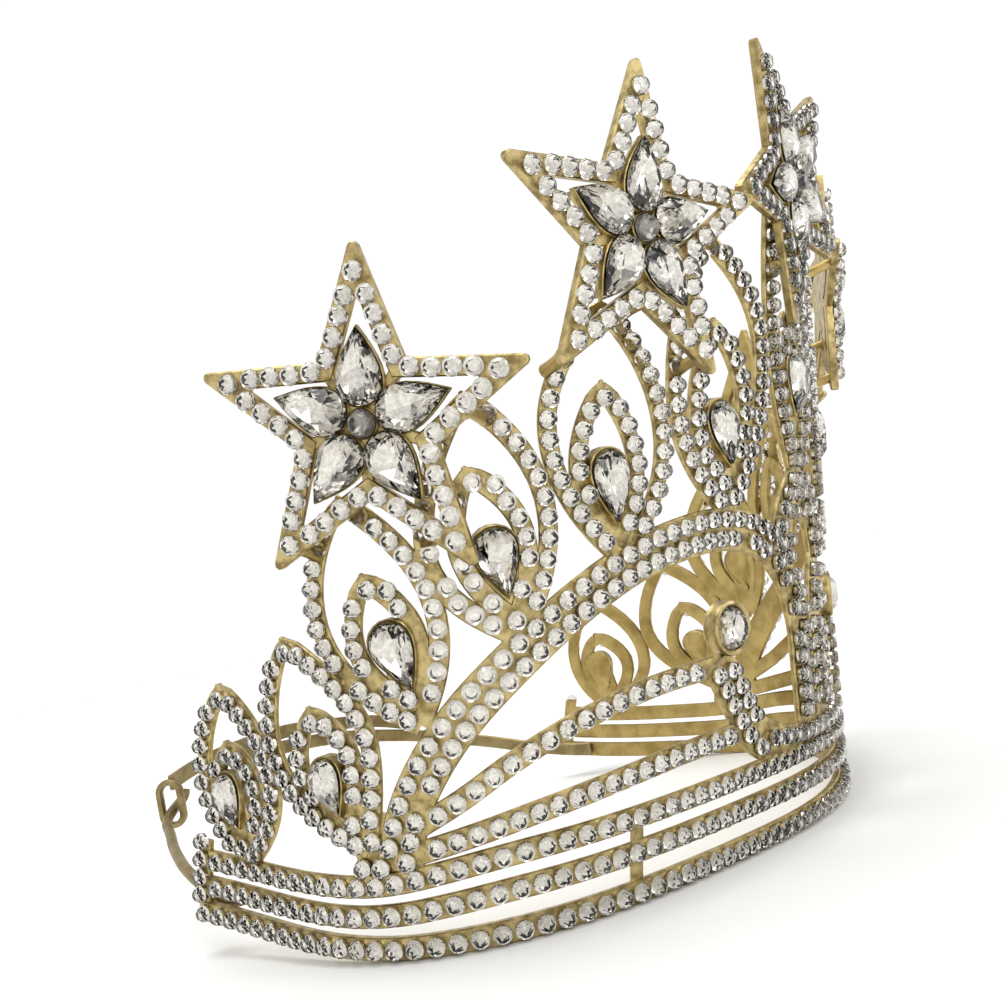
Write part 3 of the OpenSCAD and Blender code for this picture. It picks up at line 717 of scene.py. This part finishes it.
def mirror_foil(name, bright, dull, roughness):
    """Silver laid behind a stone: a mirror with fine dull specks."""
    material, tree, shader = blank(name)
    tone = ramp(tree, noise(tree, 0.8, Detail=2.0), (0.3, dull), last=(0.7, bright))
    fit(tree, shader, {"Metallic": 1.0, "Roughness": roughness}, Base_Color=tone)
    return material


def silver_foil():
    # Bright silver foil behind clear stones: it throws the light back through their facets
    return mirror_foil("silver_foil", colour("foil"), colour("foil_dull"), 0.06)


def worn_foil():
    # Tarnished foil: the stars' middle stones look grey over it
    return mirror_foil("worn_foil", colour("worn_foil"), colour("worn_foil"), 0.12)


def matt_paper_floor():
    # Seamless photographer's paper: matt, nearly white, with a faint tooth
    material, tree, shader = blank("matt_paper_floor")
    tooth = relief(tree, noise(tree, 2.5, Detail=2.0), 0.1, 0.2)
    fit(tree, shader, {"Base Color": colour("floor"), "Roughness": 0.8}, Normal=tooth)
    return material


def shared(maker):
    """The material of that maker, made once."""
    return bpy.data.materials.get(maker.__name__) or maker()


def gold():
    """Materials of a cast piece: 0 the outer faces, 1 the inner ones."""
    return [shared(antique_gold_plate), shared(satin_gold_plate)]


def glass(foil=silver_foil):
    """Materials of stones: 0 the polished glass, 1 the foil behind it."""
    return [shared(cut_crystal), shared(foil)]


# Stones

def crown_facets(n):
    """Faces of a cut crown: table, star and kite facets. Its points are n / 2 of the table, n / 2 between
    the table and the girdle, and n of the girdle."""
    half = n // 2
    faces = [tuple(range(half))]
    for k in range(half):
        m, a, b, c = half + k, n + 2 * k, n + 2 * k + 1, n + (2 * k + 2) % n
        faces += [(k, (k + 1) % half, m), (k, half + (k - 1) % half, a), (k, a, m), (m, a, b), (m, b, c)]
    return faces


def cut_stone(outline, low, kind):
    """Points, faces and material marks of a main stone; its pointed back carries the foil."""
    n = len(outline)
    level, table = CUTS[kind]
    g, high = low + level * STONE_HEIGHT, low + STONE_HEIGHT
    centre = outline.mean(0)
    even_points, odd_points = outline[0::2], outline[1::2]
    levels = ((even_points, table, high), (odd_points, 0.82, g + (high - g) * 0.58), (outline, 1, g),
              (outline, 1, g - 0.12), (even_points, 0.5, low + (g - low) * 0.42),
              (centre[None], 1, low + 0.06))
    loops = [loop_at(centre + (points - centre) * share, z) for points, share, z in levels]
    back = []
    for k in range(n // 2):
        a, b, c = (2 * n + (2 * k + i) % n for i in range(3))
        p, q = 3 * n + k, 3 * n + (k + 1) % (n // 2)
        back += [(p, a, b), (p, b, q), (q, b, c), (3 * n + n // 2, p, q)]
    polished = crown_facets(n) + bands(n, n, 1)
    return np.concatenate(loops), polished + back, [0] * len(polished) + [1] * len(back)


def flat_back(diameter, height):
    """A round flat-backed stone of eight-fold cut, standing on its foil."""
    n = ROUND_SIDES
    outline = ring_outline(diameter, n)
    loops = [loop_at(outline[0::2] * 0.6, height), loop_at(outline[1::2] * 0.84, height * 0.72),
             loop_at(outline, height * 0.34), loop_at(outline * 0.96, 0.02)]
    polished, foiled = crown_facets(n), bands(n, n, 1) + [tuple(range(2 * n, 3 * n))]
    return np.concatenate(loops), polished + foiled, [0] * len(polished) + [1] * len(foiled)


def set_stones(shape, template, frames):
    """Sets the same stone in every frame."""
    points, faces, marks = template
    for matrix in frames:
        shape.add(placed(matrix, points), faces, marks)


def along(path, pitch, start=0.0, shift=0.0):
    """Points at even steps along a flat path, moved sideways by shift."""
    path = np.asarray(path, float)
    side = sides_of(path)
    lengths = np.concatenate([[0], np.cumsum(step_lengths(path))])
    at = np.arange(start, lengths[-1] + 0.01, pitch)
    points = np.stack([np.interp(at, lengths, path[:, i]) for i in (0, 1)], -1)
    across = np.stack([np.interp(at, lengths, side[:, i]) for i in (0, 1)], -1)
    return points + across * shift


def even(path, pitch):
    """Points evenly spaced between both ends of a path, about a pitch apart."""
    room = step_lengths(path).sum() - 2 * ROW_MARGIN
    return along(path, room / round(room / pitch), ROW_MARGIN)


def double_row(path, pitch):
    """Two rows of points side by side, staggered by half a step."""
    side = pitch / 2 + 0.05
    second = DOUBLE_MARGIN + pitch / 2
    return np.concatenate([along(path, pitch, DOUBLE_MARGIN, side), along(path, pitch, second, -side)])


def end_path():
    """Flat path of the upright row at the panel's left end."""
    return [(PANEL_HALF - u, row_height(1, PANEL_HALF) + v) for u, v in END_RISE]


def seats():
    """Flat places of all the strips' round stones: candidates in order, each kept if it has room."""
    pitch = mm("round_pitch")
    groups = [row_seats(k, PANEL_HALF - cut, pitch) for k, cut in ((1, 0), (2, ROW_2_END), (3, ROW_3_END))]
    groups += [double_row(through(mirrored(path)), pitch) for path in (FRONT_ROW, ARCH)]
    leaves, tips = [leaf_side(*side) for side in (CENTRE_OUTER, CENTRE_INNER)], []
    for base, back, front, tip in OUTER_LEAVES + INNER_LEAVES:
        sides = leaf_side(base, back, tip), leaf_side(base, front, tip)
        tips.append(in_from_tip(*sides, TIP_SEAT))
        leaves += sides
    hub = [(s + (i % 2) * pitch / 2, HUB_FOOT + 0.87 * pitch * i)
           for i in range(HUB_ROWS) for s in np.arange(*HUB_SPAN, pitch)]
    rows, fan, strut = [through(ROW_4), through(ROW_5)], through(FAN), through(STRUT)
    halves = [along(end_path(), pitch, pitch / 2), np.array(tips), double_row(strut, pitch)]
    halves += [double_row(through(SLANT), pitch), *(even(path, pitch) for path in rows)]
    halves += [along(path[::-1], pitch, LEAF_MARGIN) for path in leaves] + [np.array(hub)]
    # A second pass in fine steps, on both sides of the paths too, finds the gaps that are left
    halves += [along(path, FINE_STEP) for path in rows]
    halves += [along(path[::-1], FINE_STEP, FINE_MARGIN) for path in leaves]
    halves += [along(path, FINE_STEP, 0, side) for path in leaves for side in (-0.8, 0.8)]
    halves += [along(fan, FINE_STEP, 0, side) for side in np.arange(-4.8, 4.9, FINE_STEP)]
    halves += [along(strut, FINE_STEP, 0, side) for side in (-2, 0, 2)]
    for half in halves:
        groups += both_ways(half)
    kept, cups = np.zeros((0, 2)), cup_outlines()
    for p in np.concatenate(groups):
        near = len(kept) and np.min(np.hypot(*(kept - p).T)) < STONE_ROOM * pitch
        if not near and not blocked(p, cups):
            kept = np.vstack([kept, p])
    return kept


def row_seats(k, end, pitch):
    """Seats of one of the lowest rows, a little wider apart towards the panel's ends."""
    end -= pitch / 2
    t = np.linspace(-1, 1, round(2 * end / (1.06 * pitch)) + 1)
    s = end * (0.93 * t + 0.07 * t ** 3)
    return np.stack([s, row_height(k, s)], -1)


def leaf_pear(k):
    """Width and length of a leaf's pear stone."""
    return [full * share for full, share in zip(mm("leaf_pear"), LEAF_CUPS[k][3:])]


def leaf_cup(k, wall, count=24):
    """Outline of a leaf's cup, with the gap round its stone and a wall."""
    wide, tall = leaf_pear(k)
    return pear(wide + 2 * (wall + STONE_GAP), tall + 3 * (wall + STONE_GAP), count)


def cup_outlines():
    """Outlines of the cups and finials, drawn on the flat pattern's left half."""
    cups = [leaf_cup(k, CUP_WALL, 48) @ turned(turn)[:2, :2].T + (s, z)
            for k, (s, z, turn, *_) in enumerate(LEAF_CUPS)]
    return cups + [ring_outline(mm("big_round") + max(FINIAL_RINGS)[0], 48) + FINIAL]


def blocked(p, cups):
    """True where a stone would stand on a cup or a finial."""
    p = np.array([abs(p[0]), p[1]])
    for outline in cups:
        apart = outline - p
        distance = np.hypot(*apart.T).min()
        x, y = apart.T
        crossing = x * np.roll(y, -1) - y * np.roll(x, -1)
        if distance < CUP_ROOM or (crossing > 0).all() or (crossing < 0).all():
            return True
    return False


# Pieces

class CROWN_OT_lattice(Operator):
    """Strips of the ring: rows, struts, leaves and the lowest band."""

    bl_idname = "crown.lattice"
    bl_label = "Strip lattice"

    def execute(self, context):
        shape = Shape()
        strip(shape, row_path(2, PANEL_HALF))
        strip(shape, row_path(3, PANEL_HALF - ROW_3_STRIP_END), lift=LIFT)
        for i, path in enumerate((FRONT_ROW, ARCH)):
            strip(shape, through(mirrored(path)), DOUBLE_WIDTH, lift=LIFT * (i + 2))
        halves = [(STRUT, DOUBLE_WIDTH), (ROW_4, STRIP_WIDTH), (ROW_5, STRIP_WIDTH), (SLANT, DOUBLE_WIDTH),
                  (FAN, FAN_WIDTH), (BAR, BAR_WIDTH)]
        halves = [(through(path), width) for path, width in halves] + [(end_path(), END_WIDTH)]
        for i, (path, width) in enumerate(halves):
            for half in both_ways(path):
                strip(shape, half, width, lift=-LIFT * (i + 1))
        for i, (base, back, front, tip) in enumerate(OUTER_LEAVES + INNER_LEAVES):
            sides = [both_ways(leaf_side(base, belly, tip)) for belly in (back, front)]
            for k, side in enumerate(sides):
                for half in side:
                    leaf_strip(shape, half, LIFT * (2 * i + k))
            for back, front in zip(*sides):
                leaf_tip(shape, back, front, LIFT * (2 * i - 5))
        for i, side in enumerate((CENTRE_OUTER, CENTRE_INNER)):
            for half in both_ways(leaf_side(*side)):
                leaf_strip(shape, half, LIFT * i)
        for leaf, cup in zip(OUTER_LEAVES, LEAF_CUPS):
            for half in both_ways((leaf[0], cup[:2])):
                strip(shape, half, FOOT_WIDTH, lift=FOOT_LIFT)
        strip(shape, (CENTRE_OUTER[0], LEAF_CUPS[-1][:2]), FOOT_WIDTH, lift=FOOT_LIFT)
        shape.make("lattice_strips", gold(), 40, ["crown_frame"])
        band = Shape()
        strip(band, row_path(1, PANEL_HALF), STRIP_WIDTH, BAND_THICK)
        band.make("lowest_band", gold(), 40)
        return {"FINISHED"}


class CROWN_OT_cups(Operator):
    """Pear cups of the leaves with their domed backs, and the two round finial settings."""

    bl_idname = "crown.cups"
    bl_label = "Cups and finials"

    def execute(self, context):
        shape = Shape()
        for k, (s, z, turn, *_) in enumerate(LEAF_CUPS):
            for _, matrix in both_sides(square_to_wall(s, z, turn, CUP_OFF), s == 0):
                self.cup(shape, matrix, leaf_cup(k, 0), leaf_cup(k, CUP_WALL))
        d = mm("big_round")
        rings = [(d + wide, z) for wide, z in FINIAL_RINGS] + [(0.4, -1.5), (0.4, FINIAL_SEAT)]
        for _, matrix in both_sides(square_to_wall(*FINIAL, 0, 0)):
            wrapped(shape, matrix, [loop_at(ring_outline(wide, 40), z) for wide, z in rings],
                    [0, 0, 0, 0, 0, 0, 1, 1, 1, 0])
        shape.make("stone_cups", gold(), 35)
        return {"FINISHED"}

    def cup(self, shape, matrix, inner, outer):
        rim(shape, matrix, inner, outer, -1.0, 1.25)
        slab(shape, matrix, outer, -1.2, CUP_BASE)
        loops = [loop_at(grown(outer, -inset), -depth) for inset, depth in CUP_DOME]
        n = len(outer)
        faces = bands(n, 0, 2) + [tuple(range(n))]
        faces += [(2 * n + i, 2 * n + (i + 1) % n, 3 * n) for i in range(n)]
        centre = [[0, outer[:, 1].mean(), -1.95]]
        shape.add(placed(matrix, np.concatenate([*loops, centre])), faces, [1] * len(faces))


class CROWN_OT_stars(Operator):
    """The five star plates, the rims of their pear stones, and the posts that carry them."""

    bl_idname = "crown.stars"
    bl_label = "Star plates"

    def execute(self, context):
        shape = Shape()
        for _, matrix in stars():
            self.plate(shape, matrix)
        shape.make("star_plates", gold(), 35)
        posts = Shape()
        for name, rows in STAR_POSTS.items():
            for s, z, x, y in rows:
                end = placed(star_frame(name), [[x, y, STAR_THICK / 2]])[0]
                for side in (1, -1) if name != "front" else (1,):
                    self.post(posts, spot((s, z), 0), end, side)
        posts.make("star_posts", [shared(satin_gold_plate)], 35)
        return {"FINISHED"}

    def plate(self, shape, matrix):
        top, bevel, inner = STAR_THICK, 0.28, STAR_STRIP - 0.28
        section = [(0, 0.25), (0, top - bevel), (bevel, top), (inner, top), (STAR_STRIP, top - bevel),
                   (STAR_STRIP, 0.35), (inner, 0), (bevel, 0)]
        loops = [loop_at(star_loop(u, TIP_ROUND - u if u < 1 else 0.3 + STAR_STRIP - u), z)
                 for u, z in section]
        wrapped(shape, matrix, loops, [0, 0, 0, 0, 0, 1, 1, 1])
        slab(shape, matrix, ring_outline(8.4, 20), 0.02, top - 0.1)
        wide, tall = mm("star_pear")
        pad = pear(wide - PAD_INSET, tall - PAD_INSET)
        stone = pear(wide + 2 * STONE_GAP, tall + 3 * STONE_GAP)
        x, y = SPOKE_WIDTH / 2, STAR_NOTCH - STAR_STRIP / 2
        spoke = np.array([(-x, 0), (x, 0), (x, y), (-x, y)])
        for i in range(5):
            slab(shape, spun(matrix, 72 * i + 36), spoke, 0.03, top - 0.15)
            seat = pear_seat(matrix, i)
            slab(shape, seat, pad, 0.01, top - 0.05)
            rim(shape, seat, grown(stone, -0.16), grown(stone, 0.16), top - 0.4, top + 0.75)
        d = mm("star_round")
        rim(shape, matrix, ring_outline(d - 0.1), ring_outline(d + 0.5), top - 0.3, top + 1.0)

    def post(self, shape, start, end, side):
        axis = end - start
        out = unit(axis)
        across = unit(np.cross(out, [0, 0, 1]))
        rings = [start + axis * h + r * round_section(across, np.cross(across, out)) for h, r in POST_RINGS]
        shape.tube(np.array(rings) * [side, 1, 1], [0] * ROUND_SIDES)


def round_section(across, up):
    """Points of a circle between two directions."""
    t = 2 * np.pi * np.arange(ROUND_SIDES) / ROUND_SIDES
    return np.outer(np.cos(t), across) + np.outer(np.sin(t), up)


class CROWN_OT_small_stones(Operator):
    """All the small round stones of the strips and the stars, as joined pieces."""

    bl_idname = "crown.small_stones"
    bl_label = "Small round stones"

    def execute(self, context):
        dice = random.Random(context.scene.crown_sizes.seed)
        places = seats()
        low = places[:, 1] < ROWS_TOP
        template = flat_back(mm("round_stone"), ROW_STONE_HEIGHT)
        for name, chosen in (("row_stones", places[low]), ("leaf_stones", places[~low])):
            frames = []
            for s, z in chosen:
                on_band = abs(z - row_height(1, s)) < 0.5
                off = STRIP_THICK / 2 + 0.08 + (BAND_THICK - STRIP_THICK) / 2 * on_band
                frames.append(tipped(square_to_wall(s, z, dice.uniform(0, 45), off), dice))
            self.piece(name, template, frames)
        frames = []
        for _, matrix in stars():
            for i in range(5):
                arm = spun(matrix, 72 * i)
                for x, y in ARM_STONES:
                    spin = spun(arm, dice.uniform(0, 45))
                    spin[:, 3] = placed(arm, [x, y, STAR_THICK + 0.02])
                    frames.append(tipped(spin, dice))
        self.piece("star_stones", flat_back(mm("star_stone"), STAR_STONE_HEIGHT), frames)
        return {"FINISHED"}

    def piece(self, name, template, frames):
        shape = Shape()
        set_stones(shape, template, frames)
        shape.make(name, glass())


def tipped(matrix, dice):
    """The frame tilted by a degree or two, as stones sit in their glue."""
    a, b = (math.radians(dice.uniform(-1.6, 1.6)) for _ in range(2))
    return np.column_stack([matrix[:, :3] @ np.array([[1, 0, b], [0, 1, a], [-b, -a, 1]]), matrix[:, 3]])


class CROWN_OT_main_stones(Operator):
    """The pear and round stones that have a node of their own."""

    bl_idname = "crown.main_stones"
    bl_label = "Main stones"

    def execute(self, context):
        for k, (s, z, turn, *_) in enumerate(LEAF_CUPS):
            stone = cut_stone(pear(*leaf_pear(k), STONE_SIDES), CUP_BASE + STONE_GAP, "leaf")
            for side, matrix in both_sides(square_to_wall(s, z, turn, CUP_OFF), s == 0):
                self.stone(f"leaf_{k + 1}{side}_stone" if s else "leaf_centre_stone", stone, matrix)
        stone = cut_stone(ring_outline(mm("big_round"), STONE_SIDES), FINIAL_SEAT + STONE_GAP, "finial")
        for side, matrix in both_sides(square_to_wall(*FINIAL, 0, 0)):
            self.stone(f"finial{side}_stone", stone, matrix)
        petal = cut_stone(pear(*mm("star_pear"), STONE_SIDES), STAR_THICK + STONE_GAP, "petal")
        middle = cut_stone(ring_outline(mm("star_round"), ROUND_SIDES), STAR_THICK + STONE_GAP, "middle")
        for name, matrix in stars():
            for i in range(5):
                self.stone(f"{name}_pear_{i + 1}", petal, pear_seat(matrix, i))
            self.stone(f"{name}_round", middle, matrix, worn_foil)
        return {"FINISHED"}

    def stone(self, node_name, template, matrix, foil=silver_foil):
        shape = Shape()
        set_stones(shape, template, [matrix])
        shape.make("gem_" + node_name, glass(foil), None, [node_name])


class CROWN_OT_strap(Operator):
    """The raised strap behind, with its eye."""

    bl_idname = "crown.strap"
    bl_label = "Back strap"

    def execute(self, context):
        shape = Shape()
        w, t, c = mm("strap_width") / 2, mm("strap_thick") / 2, 0.3
        corners = [(-w, -t + c), (-w, t - c), (-w + c, t), (w - c, t)]
        section = corners + [(-u, -v) for u, v in corners]
        for path in (LOWER_STRAP, UPPER_STRAP):
            points = through(path, 8)
            rings = np.stack([polar(points + [0, v, u]) for u, v in section], 1)
            shape.tube(rings, [0] * 8)
        self.eye(shape)
        shape.make("strap_band", [shared(dull_strap_plate)], 35, ["back_strap"])
        return {"FINISHED"}

    def eye(self, shape):
        """Flat oval ring with rounded edges, square to the ring's curve."""
        wide, tall = ((a + b) / 4 for a, b in zip(EYE_SIZE, EYE_HOLE))
        thick = (EYE_SIZE[0] - EYE_HOLE[0]) / 4
        a = math.radians(EYE[0])
        tangent, out = np.array([math.cos(a), math.sin(a), 0]), np.array([math.sin(a), -math.cos(a), 0])
        rings = []
        for i in range(40):
            q = 2 * math.pi * i / 40
            level = abs(math.sin(q)) < 1e-6
            shift = 0 if level else math.copysign(tall - wide, math.sin(q))
            ring = []
            for k in range(12):
                e = 2 * math.pi * k / 12
                x, y = (math.copysign(abs(v) ** 0.6, v) for v in (math.cos(e), math.sin(e)))
                reach = wide + thick * x
                flat = out * reach * math.cos(q) + np.array([0, 0, 1]) * (reach * math.sin(q) + shift)
                ring.append(polar(EYE) + flat + tangent * EYE_DEPTH / 2 * y)
            rings.append(ring)
        shape.tube(rings, [0] * 12, closed=True)


class CROWN_OT_hook(Operator):
    """The round wire hook that holds the strap's eye."""

    bl_idname = "crown.hook"
    bl_label = "Hook wire"

    def execute(self, context):
        path = polar(through(HOOK, 6))
        ahead = unit(np.gradient(path, axis=0))
        across = unit(np.cross(ahead, path * [1, 1, 0] - [0, CENTRE_Y, 0]))
        r, last = mm("wire") / 2, len(path) - 1
        # Point of the path, shift along it, and radius as a part of the wire's, with rounded ends
        stations = [(0, 0, 0.6), (0, 0.3, 0.92)] + [(i, 0, 1) for i in range(1, last)]
        stations += [(last, -0.45, 0.95), (last, -0.15, 0.75), (last, 0, 0.4)]
        rings = [path[i] + ahead[i] * shift + r * k * round_section(across[i], np.cross(ahead[i], across[i]))
                 for i, shift, k in stations]
        shape = Shape()
        shape.tube(rings, [0] * ROUND_SIDES)
        shape.make("hook_rod", [shared(dull_strap_plate)], 35, ["hook_wire"])
        return {"FINISHED"}


class CROWN_OT_stage(Operator):
    """Pale floor, soft lights and the camera."""

    bl_idname = "crown.stage"
    bl_label = "Studio"

    def execute(self, context):
        scene, stage = context.scene, context.scene.crown_stage
        mesh = bpy.data.meshes.new("floor")
        mesh.from_pydata([(-6, -6, 0), (6, -6, 0), (6, 6, 0), (-6, 6, 0)], [], [(0, 1, 2, 3)])
        mesh.materials.append(matt_paper_floor())
        floor = bpy.data.objects.new("floor", mesh)
        scene.collection.objects.link(floor)
        self.sky(scene)
        for name, (at, size, strength, tone) in LIGHTS.items():
            data = bpy.data.lights.new(name, "AREA")
            data.shape, data.size, data.energy, data.color = "SQUARE", size, getattr(stage, strength), tone
            self.aim(name, data, at, Vector(LIGHT_AIM) - Vector(at))
        data = bpy.data.cameras.new("camera")
        data.sensor_width, data.lens = 36.0, stage.focal
        data.clip_start, data.clip_end = 0.01, 30.0
        a, e = stage.azimuth, stage.elevation
        ahead = Vector((-math.sin(a) * math.cos(e), math.cos(a) * math.cos(e), -math.sin(e)))
        scene.camera = self.aim("camera", data, stage.camera_at, ahead, stage.roll)
        scene.view_settings.view_transform = "Standard"
        return {"FINISHED"}

    def aim(self, name, data, at, ahead, roll=0):
        """A camera or light at a place, looking ahead."""
        thing = bpy.data.objects.new(name, data)
        thing.location = at
        thing.rotation_mode = "QUATERNION"
        thing.rotation_quaternion = ahead.to_track_quat("-Z", "Y") @ Quaternion((0, 0, 1), -roll)
        bpy.context.scene.collection.objects.link(thing)
        return thing

    def sky(self, scene):
        """A white backdrop low down, a darker band above it and a bright ceiling for the facets to find."""
        world = bpy.data.worlds.new("studio_room")
        world.use_nodes = True
        tree = world.node_tree
        backdrop = next(n for n in tree.nodes if n.type == "BACKGROUND")
        where = node(tree, "ShaderNodeTexCoord").outputs["Generated"]
        height = node(tree, "ShaderNodeSeparateXYZ", Vector=where).outputs["Z"]
        ceiling = SKY[-1][1]
        stops = [(position, [value / ceiling] * 3 + [1]) for position, value in SKY]
        fit(tree, backdrop, {"Strength": ceiling}, Color=ramp(tree, height, *stops[:-1], last=stops[-1]))
        scene.world = world


class CROWN_PT_panel(Panel):
    """Lists the crown's pieces, sizes and finishes."""

    bl_idname = "CROWN_PT_panel"
    bl_label = "Crown"
    bl_space_type = "VIEW_3D"
    bl_region_type = "UI"
    bl_category = "Crown"

    def draw(self, context):
        for operator in OPERATORS:
            self.layout.operator(operator.bl_idname, text=operator.bl_label)
        for group in (context.scene.crown_sizes, context.scene.crown_finish, context.scene.crown_stage):
            column = self.layout.column()
            for name in group.__annotations__:
                column.prop(group, name)


GROUPS = {"crown_sizes": CrownSizes, "crown_finish": CrownFinish, "crown_stage": CrownStage}
OPERATORS = (CROWN_OT_stage, CROWN_OT_lattice, CROWN_OT_cups, CROWN_OT_stars, CROWN_OT_small_stones,
             CROWN_OT_main_stones, CROWN_OT_strap, CROWN_OT_hook)


def register():
    for cls in (*GROUPS.values(), *OPERATORS, CROWN_PT_panel):
        bpy.utils.register_class(cls)
    for name, group in GROUPS.items():
        setattr(bpy.types.Scene, name, PointerProperty(type=group))


def unregister():
    for name in GROUPS:
        delattr(bpy.types.Scene, name)
    for cls in reversed((*GROUPS.values(), *OPERATORS, CROWN_PT_panel)):
        bpy.utils.unregister_class(cls)


def main():
    register()
    for operator in OPERATORS:
        group, name = operator.bl_idname.split(".")
        getattr(getattr(bpy.ops, group), name)()


if __name__ == "__main__":
    main()
